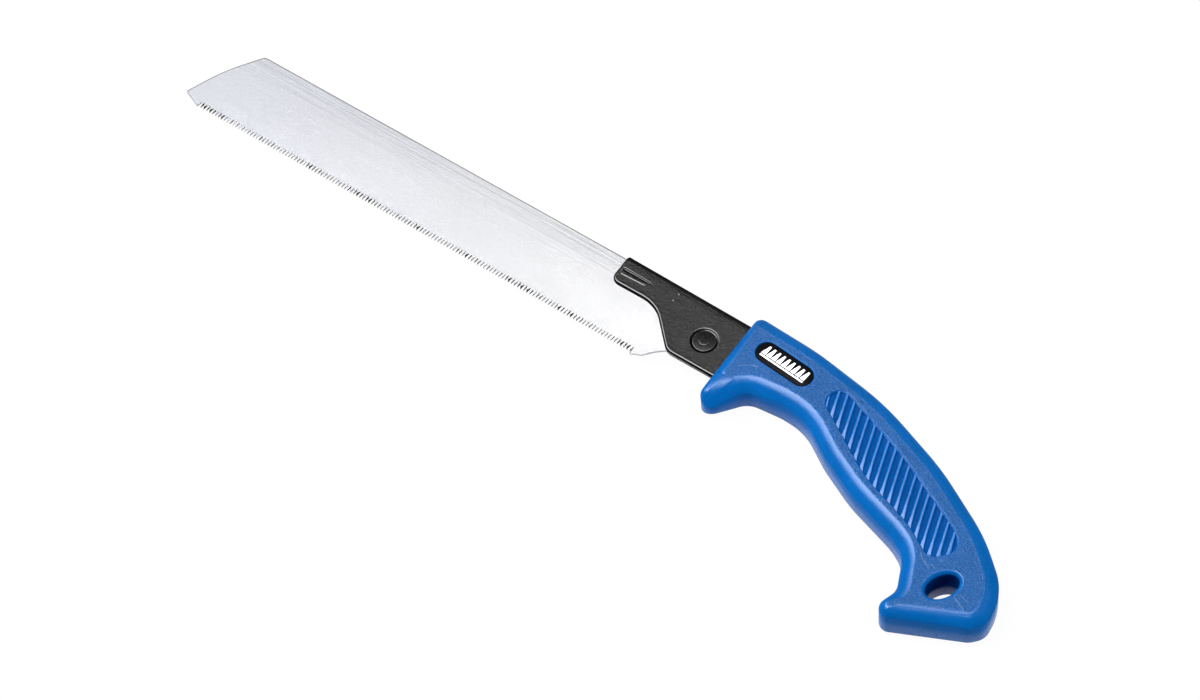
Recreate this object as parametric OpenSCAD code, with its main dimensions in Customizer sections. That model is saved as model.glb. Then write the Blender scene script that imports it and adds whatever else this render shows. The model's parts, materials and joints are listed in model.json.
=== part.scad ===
// Pull-stroke hand saw whose blade hooks on a pin and swings up into a folded sheet holder.
// All sizes are in millimetres. The sizes below are measured from the hook pin's axis on the
// blade's middle plane: X runs toward the butt, Y toward the spine, Z out of the left face.
// The finished saw lies on its right face, with its origin under the middle of its outline.

/* [Blade] */
// Length of the toothed edge
tooth_edge = 250; // [180:5:320]
// Distance from tooth to tooth
tooth_pitch = 1.75; // [1.5:0.05:2.5]
// Depth of a tooth from point to gullet
tooth_depth = 2.9; // [1.5:0.1:3.5]
// Width of the blade from spine to tooth points
blade_width = 40; // [37:0.5:44]
// Thickness of the blade
blade_thick = 0.7; // [0.5:0.05:1]
// Height of the spine above the pin axis
spine_rise = 17.6; // [16.5:0.1:18.5]
// Distance from the last tooth to the pin axis
heel_setback = 25.5; // [23:0.5:32]
// Drop of the bare heel below the tooth points
heel_drop = 1.2; // [0:0.1:2]
// Reach of the nose ahead of the first tooth
nose_reach = 10.8; // [6:0.2:15]
// Height of the nose above the tooth points
nose_rise = 3.9; // [2:0.1:6]
// Distance from the nose back to the start of the spine
tip_slant = 20; // [12:1:30]

/* [Hook and pin] */
// Diameter of the pin's shank
pin_d = 5; // [4:0.1:6]
// Running clearance of the hook round the shank
hook_clear = 0.05; // [0.02:0.01:0.1]
// Width of the hook's arm behind the pin
hook_arm = 5.6; // [4:0.2:7]
// Diameter of the pin's heads
pin_head_d = 11.2; // [9:0.1:12]
// Thickness of each head
pin_head_thick = 0.55; // [0.3:0.05:0.7]
// Gap between a head and the rim of its seat
seat_clear = 0.6; // [0.2:0.1:1]
// Depth of the seat in each leaf
seat_depth = 0.7; // [0.5:0.05:0.9]

/* [Holder] */
// Thickness of the sheet
sheet_thick = 1.3; // [1.1:0.05:1.6]
// Gap between the blade and each leaf
leaf_clear = 0.1; // [0.05:0.01:0.2]
// Gap between the spine and the inside of the fold
fold_clear = 0.4; // [0.2:0.05:0.6]
// Fall of the fold from the front edge to the handle
fold_fall = 1; // [0:0.1:1.5]
// Reach of the holder ahead of the pin axis
holder_reach = 55; // [48:0.5:70]
// Height of the front tongue's lower edge above the pin axis
tongue_rise = 4; // [2:0.5:7]
// Distance ahead of the pin axis at which the cheek's slope crosses the axis's level
cheek_ahead = 25.5; // [22:0.5:32]
// Drop of the cheek's lower edge below the pin axis
cheek_drop = 13.6; // [11:0.1:15]
// Length of the pinch groove
groove_len = 17.5; // [10:0.5:22]
// Width of the pinch groove at the front edge
groove_width = 2.8; // [1.5:0.1:4]
// Depth of the pinch groove
groove_depth = 0.5; // [0.2:0.05:0.7]
// Height of the groove's centre line above the pin axis
groove_rise = 11.6; // [9:0.1:13]

/* [Tang] */
// Length of the tang behind the handle's front face
tang_len = 52; // [45:1:60]
// Height of the tang's upper edge above the pin axis
tang_rise = 12.5; // [10:0.5:13]
// Drop of the tang's lower edge below the pin axis
tang_drop = 6; // [4:0.5:7]

/* [Handle] */
// Distance from the pin axis to the handle's front face
handle_front = 15; // [12:0.5:24]
// Length of the handle from its front face to the butt's corner
handle_len = 170; // [160:1:185]
// Thickness of the handle across both faces
handle_thick = 22; // [20:0.5:26]
// Radius of the rounded edges of both faces
edge_round = 6.3; // [3:0.1:6.5]
// Height of the handle's top front corner above the pin axis
handle_rise = 21.8; // [21.5:0.1:25]
// Drop of the finger guard's tip below the pin axis
guard_drop = 27.5; // [25:0.5:30]
// Drop of the finger hollow below the pin axis
hollow_drop = 11; // [9:0.5:12]
// Drop of the butt's hook below the pin axis
butt_drop = 77; // [72:0.5:84]
// Thickness of the side walls
shell_wall = 2.6; // [2:0.1:3]
// Thickness of the wall under each face
face_wall = 4; // [3.4:0.1:5]

/* [Grip panel] */
// Depth of the ribbed panel below the face
panel_depth = 1.5; // [0.8:0.1:2]
// Distance from rib to rib along the handle
rib_pitch = 4.2; // [3.5:0.1:7]
// Width of a rib at its foot
rib_foot = 2.7; // [2:0.1:3.2]
// Width of a rib at its crest
rib_crest = 0.6; // [0.3:0.1:1.8]
// Depth of the crests below the face
rib_sink = 0.4; // [0.1:0.1:0.6]
// Distance from the handle's front face to a rib, on the pin axis's level
rib_start = 51.7; // [50:0.1:54]
// Lean of the ribs from square across the saw, in degrees
rib_lean = 17; // [0:1:30]

/* [Badges] */
// Length of the badge
badge_len = 30.4; // [28:0.2:34]
// Width of the badge
badge_width = 10.8; // [9:0.2:12]
// Thickness of the badge
badge_thick = 0.9; // [0.5:0.1:1.2]
// Depth of the badge's recess
badge_depth = 1.2; // [0.8:0.1:1.6]
// Gap round the badge
badge_clear = 0.1; // [0.05:0.05:0.3]
// Turn of the badge, in degrees
badge_tilt = -5; // [-10:1:5]
// Distance of the badge's centre behind the handle's front face
badge_back = 25.5; // [24:0.5:28]
// Height of the badge's centre above the pin axis
badge_rise = 5.1; // [4:0.1:6]

/* [Hang hole] */
// Length of the hang hole at its throat
hole_len = 16.6; // [14:0.2:20]
// Width of the hang hole at its throat
hole_width = 11.2; // [8:0.2:12]
// Radius of the hole's rounded rims
hole_lip = 1.8; // [0.5:0.1:2.5]
// Turn of the hole's long axis, in degrees
hole_tilt = 62; // [50:1:75]
// Distance of the hole's centre ahead of the butt's corner
hole_ahead = 25.8; // [24:0.2:30]
// Height of the hole's centre above the butt's hook
hole_rise = 26; // [25:0.5:29]

/* [Screws] */
// Diameter of the screws
screw_d = 3; // [2.6:0.1:3.5]
// Gap between a screw and its hole
screw_clear = 0.05; // [0.02:0.01:0.1]
// Diameter of the screw heads
screw_head_d = 6; // [5:0.1:6.4]
// Height of the screw heads
screw_head_h = 2.2; // [1.6:0.1:2.6]
// Gap between a head and its counterbore
head_clear = 0.3; // [0.1:0.05:0.5]
// Distance from the middle plane to the seat under a head
screw_seat = 5.2; // [4.6:0.1:6]
// Depth of a screw's point past the middle plane
screw_bite = 6; // [5:0.5:7]
// Diameter of the screw bosses
boss_d = 10.4; // [9.4:0.2:11]
// Diameter of the spigots that pass through the tang
spigot_d = 7; // [6:0.1:8]
// Gap between a spigot and its hole in the tang
spigot_clear = 0.15; // [0.05:0.05:0.3]
// Gap between the tang and the shoulders that hold it
tang_clear = 0.1; // [0.05:0.05:0.2]
// Distance between the two screws through the tang
tang_screw_gap = 22; // [18:1:24]

/* [Hidden] */

$fn = 48;

// Largest gap between an arc and its chords
chord_gap = 0.08;
// Steps across the rounded edge of a handle face
edge_steps = 6;
// Radius left on a corner that an inset has used up
least_round = 0.2;
// Overshoot of a cut past the face it opens
cut = 1;

handle_half = handle_thick / 2;
butt_x = handle_front + handle_len;
butt_y = -butt_drop;
hollow_y = -hollow_drop;

// Blade heights and the ends of its toothed edge
point_y = spine_rise - blade_width;
gullet_y = point_y + tooth_depth;
tooth_count = round(tooth_edge / tooth_pitch);
heel_x = -heel_setback;
toe_x = heel_x - tooth_count * tooth_pitch;
nose_x = toe_x - nose_reach;
hook_r = pin_d / 2 + hook_clear;

// Share of the pitch taken by a tooth's long back, so that the steep face looks at the handle
tooth_back = 0.72;

// Leaves and fold of the holder
leaf_in = blade_thick / 2 + leaf_clear;
leaf_out = leaf_in + sheet_thick;
fold_y = spine_rise + fold_clear - leaf_in;
holder_top = fold_y + leaf_out;
fold_end = handle_front + shell_wall;
tang_end = handle_front + tang_len;
seat_d = pin_head_d + 2 * seat_clear;
seat_floor = leaf_out - seat_depth;

// Screw places as [x, y]
badge_at = [handle_front + badge_back, badge_rise];
badge_dir = [cos(badge_tilt), sin(badge_tilt)];
tang_front_at = badge_at - badge_dir * tang_screw_gap / 2;
tang_rear_at = badge_at + badge_dir * tang_screw_gap / 2;
grip_at = [handle_front + 88, hollow_y - 1];
butt_at = [butt_x - 13, butt_y + 30];
hole_at = [butt_x - hole_ahead, butt_y + hole_rise];
tang_shoulder = leaf_out + tang_clear;

// Plain vector helpers
function unit(v) = v / norm(v);
function left_of(v) = [-v.y, v.x];
function xy(corner) = [corner.x, corner.y];
function turn_between(u, w) = atan2(u.x * w.y - u.y * w.x, u * w);
function highest(list, axis) = max([for (p = list) p[axis]]);
function lowest(list, axis) = min([for (p = list) p[axis]]);

// Fall of the fold's line at a place along the saw
function fold_fall_at(x) = fold_fall * (x + holder_reach) / (fold_end + holder_reach);

// Points of the arc that rounds corner b, between its neighbours a and c.
// The count follows the corner's own radius r_own, so that inset copies match point for point.
// A corner whose own radius is 0 stays sharp.
function corner_arc(a, b, c, r, r_own) =
    r_own == 0 ? [b] :
    let (
        u = unit(b - a),
        w = unit(c - b),
        turn = turn_between(u, w),
        start = b - u * r * tan(abs(turn) / 2),
        side = sign(turn),
        centre = start + left_of(u) * r * side,
        arm = start - centre,
        steps = max(1, ceil(abs(turn) / (2 * acos(1 - chord_gap / r_own))))
    )
    [for (k = [0:steps])
        let (t = turn * k / steps)
        centre + [arm.x * cos(t) - arm.y * sin(t), arm.x * sin(t) + arm.y * cos(t)]];

// Closed outline from corners [x, y, radius], anticlockwise, moved inward by d
function outline(corners, d = 0) =
    let (
        n = len(corners),
        moved = [for (i = [0:n - 1])
            let (
                b = xy(corners[i]),
                before = left_of(unit(b - xy(corners[(i + n - 1) % n]))),
                after = left_of(unit(xy(corners[(i + 1) % n]) - b)),
                convex = before.x * after.y - before.y * after.x > 0,
                r = corners[i][2]
            )
            [b + (before + after) * d / (1 + before * after),
             convex ? max(r - d, least_round) : r + d]]
    )
    [for (i = [0:n - 1])
        each corner_arc(moved[(i + n - 1) % n][0], moved[i][0], moved[(i + 1) % n][0],
                        moved[i][1], corners[i][2])];

// Corners of the handle on the middle plane, from the finger guard along the fingers' side
handle_corners = [
    [handle_front, -guard_drop - 10, 4.3],
    [handle_front + 16.5, hollow_y - 1.8, 10],
    [handle_front + 34.5, hollow_y, 30],
    [handle_front + 47.5, hollow_y - 0.6, 30],
    [handle_front + 65.3, hollow_y - 11.9, 40],
    [handle_front + 85, hollow_y - 21.4, 80],
    [butt_x - 57.5, butt_y + 36.1, 40],
    [butt_x - 48.5, butt_y + 31, 16],
    [butt_x - 42, butt_y + 15.2, 8],
    [butt_x - 46.7, butt_y - 2.6, 4.6],
    [butt_x - 5.5, butt_y + 16.8, 10],
    [butt_x, butt_y + 22, 9.5],
    [butt_x - 2, butt_y + 39.1, 30],
    [butt_x - 24, butt_y + 58.5, 90],
    [butt_x - 57.7, butt_y + 76.8, 140],
    [handle_front + 73.3, handle_rise - 7.7, 140],
    [handle_front + 33.8, handle_rise - 1.5, 140],
    [handle_front + 0.7, handle_rise, 4.2]
];

// Corners of the ribbed panel on a face
panel_corners = [
    [handle_front + 49.5, hollow_y + 9.5, 6],
    [handle_front + 87, hollow_y - 13.3, 60],
    [butt_x - 54, butt_y + 43.2, 60],
    [butt_x - 38, butt_y + 33.5, 7],
    [butt_x - 27, butt_y + 44, 7],
    [butt_x - 34.5, butt_y + 52.4, 14],
    [handle_front + 95, hollow_y + 6, 120],
    [handle_front + 53, hollow_y + 21.2, 6]
];

// Corners of the blade without its teeth and hook, from the heel round to the nose
blade_back_corners = [
    [heel_x, gullet_y, 0],
    [heel_x, point_y - heel_drop, 0.4],
    [heel_x + 5.6, point_y - heel_drop + 2.6, 2],
    [heel_x + 9.2, point_y - heel_drop + 6.8, 8],
    [heel_x + 13.8, point_y - heel_drop + 10.7, 5],
    [-7, -9, 3],
    [hook_r + hook_arm, -7, 3],
    [hook_r + hook_arm, 5, 4],
    [-7, spine_rise - fold_fall_at(-7), 10],
    [3 - holder_reach, spine_rise, 60],
    [nose_x + tip_slant, spine_rise, 3],
    [nose_x + tip_slant * 0.41, (spine_rise + point_y) / 2 + 2.9, 80],
    [nose_x, point_y + nose_rise, 1],
    [toe_x - 0.8, point_y, 0]
];

// Corners of one leaf of the holder, from the front tongue along the lower edge to the tang
leaf_corners = [
    [-holder_reach, tongue_rise, 4],
    [-cheek_ahead - tongue_rise, tongue_rise, 18],
    [-cheek_ahead + cheek_drop, -cheek_drop, 7],
    [fold_end, -cheek_drop, 1],
    [fold_end, -tang_drop, 1],
    [tang_end, -tang_drop, 4],
    [tang_end, tang_rise, 4],
    [fold_end, tang_rise, 1],
    [fold_end, fold_y - fold_fall, 0],
    [-holder_reach, fold_y, 0]
];

// Corners of the hang hole, rounded to two half circles
hole_corners = let (long = hole_len / 2, wide = hole_width / 2, round = wide - 0.01) [
    for (p = [[-long, -wide], [long, -wide], [long, wide], [-long, wide]])
        let (c = cos(hole_tilt), s = sin(hole_tilt))
        [hole_at.x + p.x * c - p.y * s, hole_at.y + p.x * s + p.y * c, round]
];

// Open chain of rounded corners: the first and last corner stay sharp
function rounded_chain(corners) = [
    for (i = [0:len(corners) - 1])
        let (ends = i == 0 || i == len(corners) - 1)
        each ends ? [xy(corners[i])]
            : corner_arc(xy(corners[i - 1]), xy(corners[i]), xy(corners[i + 1]),
                         corners[i][2], corners[i][2])
];

tooth_points = [
    for (i = [0:tooth_count - 1])
        each [[toe_x + i * tooth_pitch, gullet_y], [toe_x + (i + tooth_back) * tooth_pitch, point_y]]
];
blade_outline = concat(tooth_points, rounded_chain(blade_back_corners));
handle_outline = outline(handle_corners);

// Moves the saw from the pin's axis to its own frame, lying on its right face
rest_shift = [
    -(lowest(blade_outline, 0) + highest(handle_outline, 0)) / 2,
    -(lowest(handle_outline, 1) + highest(handle_outline, 1)) / 2,
    handle_half
];

// Solid through a stack of matching rings, each given as [z, points]
module loft(rings) {
    n = len(rings[0][1]);
    last = len(rings) - 1;
    points = [for (ring = rings) for (p = ring[1]) [p.x, p.y, ring[0]]];
    sides = [
        for (k = [0:last - 1], i = [0:n - 1])
            let (a = k * n + i, b = k * n + (i + 1) % n)
            each [[a, a + n, b], [b, a + n, b + n]]
    ];
    floor_face = [for (i = [0:n - 1]) i];
    roof_face = [for (i = [n - 1:-1:0]) last * n + i];
    polyhedron(points, concat(sides, [floor_face, roof_face]));
}

// One half of the handle as a solid slab with a rounded face, from the middle plane upward
module handle_slab() {
    wall_top = handle_half - edge_round;
    rounded = [
        for (k = [0:edge_steps])
            let (t = 90 * k / edge_steps)
            [wall_top + edge_round * sin(t), outline(handle_corners, edge_round * (1 - cos(t)))]
    ];
    top = rounded[edge_steps];
    bottom = [-cut, handle_outline];
    difference() {
        loft(concat([bottom], rounded, [[handle_half + cut, top[1]]]));
        slab_trim(-handle_thick);
        slab_trim(handle_half);
    }
}

// Block over the whole outline, from height z up by one handle thickness
module slab_trim(z) {
    low = [lowest(handle_outline, 0) - cut, lowest(handle_outline, 1) - cut];
    high = [highest(handle_outline, 0) + cut, highest(handle_outline, 1) + cut];
    translate([low.x, low.y, z])
        cube([high.x - low.x, high.y - low.y, handle_thick]);
}

// Hang hole with rounded rims at the face
module hang_hole_cut() {
    rim = [
        for (k = [0:edge_steps])
            let (t = 90 * k / edge_steps)
            [handle_half - hole_lip + hole_lip * sin(t), outline(hole_corners, -hole_lip * (1 - cos(t)))]
    ];
    loft(concat([[-cut, outline(hole_corners)]], rim, [[handle_half + cut, rim[edge_steps][1]]]));
}

module badge_plan(grow) {
    ends = badge_len / 2 - badge_width / 2;
    translate(badge_at)
        rotate(badge_tilt) {
            square([2 * ends, badge_width + 2 * grow], center = true);
            for (side = [-1, 1])
                translate([side * ends, 0])
                    circle(d = badge_width + 2 * grow);
        }
}

module badge_recess() {
    translate([0, 0, handle_half - badge_depth])
        linear_extrude(badge_depth + cut)
            badge_plan(badge_clear);
}

// One rib across the panel, at distance x on the pin axis's level
module rib(x) {
    height = panel_depth - rib_sink;
    run = 3 * butt_drop;
    translate([x, 0, handle_half - panel_depth])
        rotate([90, 0, rib_lean])
            translate([0, 0, -run / 2])
                linear_extrude(run)
                    polygon([
                        [-rib_foot / 2, -cut], [rib_foot / 2, -cut], [rib_foot / 2, 0],
                        [rib_crest / 2, height], [-rib_crest / 2, height], [-rib_foot / 2, 0]
                    ]);
}

// Ribbed panel sunk in the face, with the ribs left standing
module panel_recess() {
    panel = outline(panel_corners);
    first_x = handle_front + rib_start;
    reach = tan(rib_lean) * max(highest(panel, 1), -lowest(panel, 1));
    least = floor((lowest(panel, 0) - first_x - reach) / rib_pitch);
    most = ceil((highest(panel, 0) - first_x + reach) / rib_pitch);
    difference() {
        translate([0, 0, handle_half - panel_depth])
            linear_extrude(panel_depth + cut)
                polygon(panel);
        for (i = [least:most])
            rib(first_x + i * rib_pitch);
    }
}

// Room inside the shell, less what stays solid round the screws and the hang hole
module cavity() {
    difference() {
        translate([0, 0, -cut])
            linear_extrude(handle_half - face_wall + cut)
                polygon(outline(handle_corners, shell_wall));
        for (at = [tang_front_at, tang_rear_at])
            translate([at.x, at.y, tang_shoulder])
                cylinder(d = boss_d, h = handle_half);
        for (at = [grip_at, butt_at])
            translate([at.x, at.y, 0])
                cylinder(d = boss_d, h = handle_half);
        linear_extrude(handle_half)
            polygon(outline(hole_corners, -shell_wall));
    }
}

// Slot in the front wall for the holder
module holder_slot() {
    low = -cheek_drop - tang_clear;
    translate([handle_front - cut, low, -cut])
        cube([shell_wall + 2 * cut, holder_top + tang_clear - low, tang_shoulder + cut]);
}

// Half of the handle without its screw holes
module shell_half() {
    difference() {
        handle_slab();
        cavity();
        holder_slot();
        hang_hole_cut();
        badge_recess();
        panel_recess();
    }
}

module left_shell() {
    pilot_d = screw_d + 2 * screw_clear;
    color([0.05, 0.34, 0.70])
        difference() {
            union() {
                shell_half();
                for (at = [tang_front_at, tang_rear_at])
                    translate([at.x, at.y, -tang_shoulder])
                        cylinder(d = spigot_d, h = 2 * tang_shoulder);
            }
            for (at = [tang_front_at, tang_rear_at, grip_at, butt_at])
                translate([at.x, at.y, -tang_shoulder - cut])
                    cylinder(d = pilot_d, h = tang_shoulder + cut + screw_bite + screw_d / 2);
        }
}

module right_shell() {
    bore_d = screw_head_d + 2 * head_clear;
    color([0.05, 0.34, 0.70])
        difference() {
            mirror([0, 0, 1])
                shell_half();
            for (at = [tang_front_at, tang_rear_at, grip_at, butt_at]) {
                translate([at.x, at.y, -handle_half])
                    cylinder(d = screw_d + 2 * screw_clear, h = handle_half + cut);
                translate([at.x, at.y, -handle_half - cut])
                    cylinder(d = bore_d, h = handle_half + cut - screw_seat);
            }
        }
}

module badge() {
    translate([0, 0, handle_half - badge_depth])
        linear_extrude(badge_thick)
            badge_plan(0);
}

module left_badge() {
    color([0.03, 0.03, 0.03])
        badge();
}

module right_badge() {
    color([0.03, 0.03, 0.03])
        mirror([0, 0, 1])
            badge();
}

// Pan-head screw with a crossed drive, head toward the right face
module screw(at) {
    slot = screw_head_d / 8;
    color([0.62, 0.63, 0.65])
        translate([at.x, at.y, -screw_seat])
            difference() {
                union() {
                    rotate_extrude()
                        polygon([
                            [0, -screw_head_h], [screw_head_d * 0.3, -screw_head_h],
                            [screw_head_d / 2, -screw_head_h * 0.6], [screw_head_d / 2, 0], [0, 0]
                        ]);
                    cylinder(d = screw_d, h = screw_seat + screw_bite - screw_d / 2);
                    translate([0, 0, screw_seat + screw_bite - screw_d / 2])
                        cylinder(d1 = screw_d, d2 = screw_d / 3, h = screw_d / 2);
                }
                for (turn = [0, 90])
                    rotate(turn)
                        translate([0, 0, -screw_head_h])
                            cube([screw_head_d * 0.6, slot, screw_head_h], center = true);
            }
}

module tang_screw_front() { screw(tang_front_at); }
module tang_screw_rear() { screw(tang_rear_at); }
module grip_screw() { screw(grip_at); }
module butt_screw() { screw(butt_at); }

module blade() {
    color([0.86, 0.86, 0.90])
        translate([0, 0, -blade_thick / 2])
            difference() {
                linear_extrude(blade_thick)
                    polygon(blade_outline);
                translate([0, 0, -cut])
                    cylinder(r = hook_r, h = blade_thick + 2 * cut);
                translate([-hook_r, -blade_width, -cut])
                    cube([2 * hook_r, blade_width, blade_thick + 2 * cut]);
            }
}

// Tapered groove pressed into a leaf from the front edge
module pinch_groove() {
    front = -holder_reach;
    translate([0, groove_rise, leaf_out - groove_depth])
        linear_extrude(groove_depth + cut)
            polygon([
                [front - cut, -groove_width / 2], [front + groove_len - groove_width, -groove_width / 3],
                [front + groove_len, 0],
                [front + groove_len - groove_width, groove_width / 3], [front - cut, groove_width / 2]
            ]);
}

module holder_leaf() {
    difference() {
        translate([0, 0, leaf_in])
            linear_extrude(sheet_thick)
                polygon(outline(leaf_corners));
        pinch_groove();
        translate([0, 0, seat_floor])
            cylinder(d = seat_d, h = seat_depth + cut);
        cylinder(d = pin_d + 2 * screw_clear, h = leaf_out + cut);
        for (at = [tang_front_at, tang_rear_at])
            translate([at.x, at.y, 0])
                cylinder(d = spigot_d + 2 * spigot_clear, h = leaf_out + cut);
    }
}

// Half-round fold over the spine that joins the two leaves
module holder_fold() {
    length = fold_end + holder_reach;
    slope = -atan(fold_fall / length);
    intersection() {
        translate([-holder_reach, fold_y, 0])
            rotate(slope)
                difference() {
                    fold_rod(leaf_out, length);
                    fold_rod(leaf_in, length);
                    translate([-2 * cut, -2 * leaf_out, -leaf_out])
                        cube([length + 4 * cut, 2 * leaf_out, 2 * leaf_out]);
                }
        translate([-holder_reach, 0, -leaf_out])
            cube([length, holder_top + cut, 2 * leaf_out]);
    }
}

// Rod along the fold, a little longer at both ends
module fold_rod(r, length) {
    translate([-cut, 0, 0])
        rotate([0, 90, 0])
            cylinder(r = r, h = length + 2 * cut);
}

module blade_holder() {
    color([0.10, 0.10, 0.11]) {
        holder_leaf();
        mirror([0, 0, 1])
            holder_leaf();
        holder_fold();
    }
}

// Shank with a flat head in each leaf's seat and a raised peened end on each head
module hook_pin() {
    head_top = seat_floor + pin_head_thick;
    half_profile = [
        [0, 0], [pin_d / 2, 0], [pin_d / 2, seat_floor], [pin_head_d / 2, seat_floor],
        [pin_head_d / 2, head_top - pin_head_thick / 2], [pin_head_d / 2 - pin_head_thick, head_top],
        [pin_d / 2, head_top], [pin_d / 2 - pin_head_thick / 2, head_top + pin_head_thick / 2],
        [0, head_top + pin_head_thick / 2]
    ];
    color([0.12, 0.12, 0.13])
        for (face = [0, 1])
            mirror([0, 0, face])
                rotate_extrude()
                    polygon(half_profile);
}

translate(rest_shift) {
    blade();
    blade_holder();
    hook_pin();
    left_shell();
    right_shell();
    left_badge();
    right_badge();
    tang_screw_front();
    tang_screw_rear();
    grip_screw();
    butt_screw();
}
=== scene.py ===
# Looks of a pull-stroke hand saw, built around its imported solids.
# Shapes are worked out in millimetres from the hook pin's axis on the blade's middle plane:
# X runs toward the butt, Y toward the spine, Z out of the left face.
import json
import math

import bmesh
import bpy
from mathutils import Matrix, Vector
from mathutils.geometry import tessellate_polygon


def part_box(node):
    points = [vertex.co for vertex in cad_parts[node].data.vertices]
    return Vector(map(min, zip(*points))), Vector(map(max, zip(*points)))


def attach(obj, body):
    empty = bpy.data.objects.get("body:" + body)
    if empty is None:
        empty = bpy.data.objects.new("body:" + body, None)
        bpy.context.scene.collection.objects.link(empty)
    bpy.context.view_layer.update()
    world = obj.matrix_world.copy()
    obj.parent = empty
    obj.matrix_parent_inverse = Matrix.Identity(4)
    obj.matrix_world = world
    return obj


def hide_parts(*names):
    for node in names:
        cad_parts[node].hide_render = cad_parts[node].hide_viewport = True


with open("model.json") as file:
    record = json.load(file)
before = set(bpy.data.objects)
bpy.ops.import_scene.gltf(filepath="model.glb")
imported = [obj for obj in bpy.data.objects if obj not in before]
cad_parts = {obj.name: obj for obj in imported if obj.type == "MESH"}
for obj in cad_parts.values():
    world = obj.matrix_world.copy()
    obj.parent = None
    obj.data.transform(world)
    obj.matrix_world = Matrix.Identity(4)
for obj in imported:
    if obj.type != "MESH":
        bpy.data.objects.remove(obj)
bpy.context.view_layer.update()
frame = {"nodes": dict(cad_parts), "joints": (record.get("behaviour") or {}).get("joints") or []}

MM = 0.001
TINY = 1e-6
PIN = Vector(frame["joints"][0]["pos_m"])


def from_pin(node, side, axis):
    """Distance in millimetres from the pin to one side of a solid's box."""
    return (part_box(node)[side][axis] - PIN[axis]) / MM


def in_scene(name, data):
    """New object, linked to the scene."""
    obj = bpy.data.objects.new(name, data)
    bpy.context.scene.collection.objects.link(obj)
    return obj


# Handle. The outline's corners are measured from its front, top, hollow, guard tip and butt
HALF = from_pin("left_shell", 1, 2)
HANDLE_FRONT = 15.0
HANDLE_RISE = 21.8
TOP_SETBACK = 0.7
HOLLOW_Y = -11.0
BUTT_X = 185.0
BUTT_Y = -77.0
GUARD_TIP = -42.3
GUARD_LEAD = 0.2
SHELL_WALL = 2.6
FACE_WALL = 4.0
SLOT_HALF = 1.85
SLOT_GAP = 0.1

# Rounding of the faces' edges: width, depth, power of its curve, where 2 is an ellipse, power by the two
# tips, steps, and the flat land beyond it and beyond a lip
EDGE_ROUND = 7.2
EDGE_DROP = 4.8
EDGE_POWER = 1.5
TIP_POWER = 2.1
EDGE_STEPS = 20
EDGE_LAND = 0.3
LIP_LAND = 0.25

# Share of that width along the front, along the front under the slot and along the guard's flank
FRONT_SHARE = 0.55
FRONT_LOW_SHARE = 1.0
GUARD_SHARE = 1.1

# Fall of the faces by the guard's tip and the hook's tip: curvature, reach, and pairs of places between
# which the fall, its doubling or the tips' rounding fades in
GUARD_BEND = 0.034
GUARD_REACH = 15.5
GUARD_ALONG = (46, 14)
GUARD_NEAR = (60, 48)
GUARD_DOUBLE = (36, 8)
GUARD_ROUND = (GUARD_REACH, 8)
HOOK_BEND = 0.03
HOOK_REACH = 12.0
HOOK_LEVELS = (BUTT_Y + 19, BUTT_Y + 14)
HOOK_ROUND = (20, 8)

# Blade
SPINE = from_pin("blade", 1, 1)
BLADE_HALF = from_pin("blade", 1, 2)
BLADE_WIDTH = 40.0
TOOTH_DEPTH = 2.9
TOOTH_PITCH = 1.75
TOOTH_COUNT = 143
TOOTH_BACK = 0.72
POINT_Y = SPINE - BLADE_WIDTH
GULLET_Y = POINT_Y + TOOTH_DEPTH
HEEL_X = -25.5
HEEL_Y = POINT_Y - 1.2
TOE_X = HEEL_X - TOOTH_COUNT * TOOTH_PITCH
NOSE_X = from_pin("blade", 0, 0)
HOOK_R = 2.55
HOOK_ARM = 5.6

# Bevels along the blade's edges, and how far a tooth's ground and plain flanks shift the edge of the
# face at a gullet and at a point
BEVEL_WIDTH = 0.45
BEVEL_DROP = 0.11
LEAST_EDGE = 0.04
CORNER_SHIFT = Vector((0, 0.4))
GROUND_SHIFTS = (Vector((-0.40, 0.5)), Vector((-0.50, 0.9)))
PLAIN_SHIFTS = (Vector((-0.16, 0.25)), Vector((-0.20, 0.5)))

# Painted shade for the teeth's ground bevels and edges, middling, deep or faint, and middling for the
# blade's other edges, as places in the blade's list of materials, and the width of their grinding
MID_SHADE, DEEP_SHADE, FAINT_SHADE = 1, 2, 3
GRIND_WIDTH = {MID_SHADE: 1.0, DEEP_SHADE: 1.5, FAINT_SHADE: 0.75}
DEEP_SHADE_HEEL_TEETH = 5

# Holder and pin
LEAF_OUT = from_pin("blade_holder", 1, 2)
SHEET = 1.3
LEAF_IN = LEAF_OUT - SHEET
HOLDER_FRONT = from_pin("blade_holder", 0, 0)
TANG_END = from_pin("blade_holder", 1, 0)
TANG_LOW = -6
TANG_HIGH = 12.5
FOLD_END = HANDLE_FRONT + SHELL_WALL
FOLD_CLEAR = 0.4
FOLD_Y = SPINE + FOLD_CLEAR - LEAF_IN
FOLD_FALL = 1.0
FOLD_STEPS = 20
FOLD_RUN = math.pi * (LEAF_IN + LEAF_OUT) / 2
BEND_LEAD = 2.4
CHEEK_DROP = 13.6
CHEEK_AHEAD = 25.5
TONGUE_RISE = 4.0
SHEET_ROUND = 1.05
SHEET_BEAD = 0.07
SHEET_LAND = 2.2
SHEET_CHAMFER = 0.15
SEAT_R = 6.2
SEAT_DEPTH = 0.7
SEAT_LIP = 0.65
HEAD_R = 5.6
HEAD_THICK = 0.55
SHANK_R = 2.5

# Pinch groove. Its core and ridge are measured in shares of its half width
GROOVE_Y = 11.6
GROOVE_LEN = 17.5
GROOVE_HALF = 1.4
GROOVE_DEPTH = 0.5
GROOVE_TAPER = 0.3
GROOVE_NOSE = 3.0
GROOVE_CORE = 0.35
RIDGE_WIDTH = 1.2
RIDGE_RISE = 0.09
GROOVE_ROWS = 36
GROOVE_COLUMNS = 44
GROOVE_PATCH = (GROOVE_Y - 3.4, GROOVE_Y + 1.9)

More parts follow.
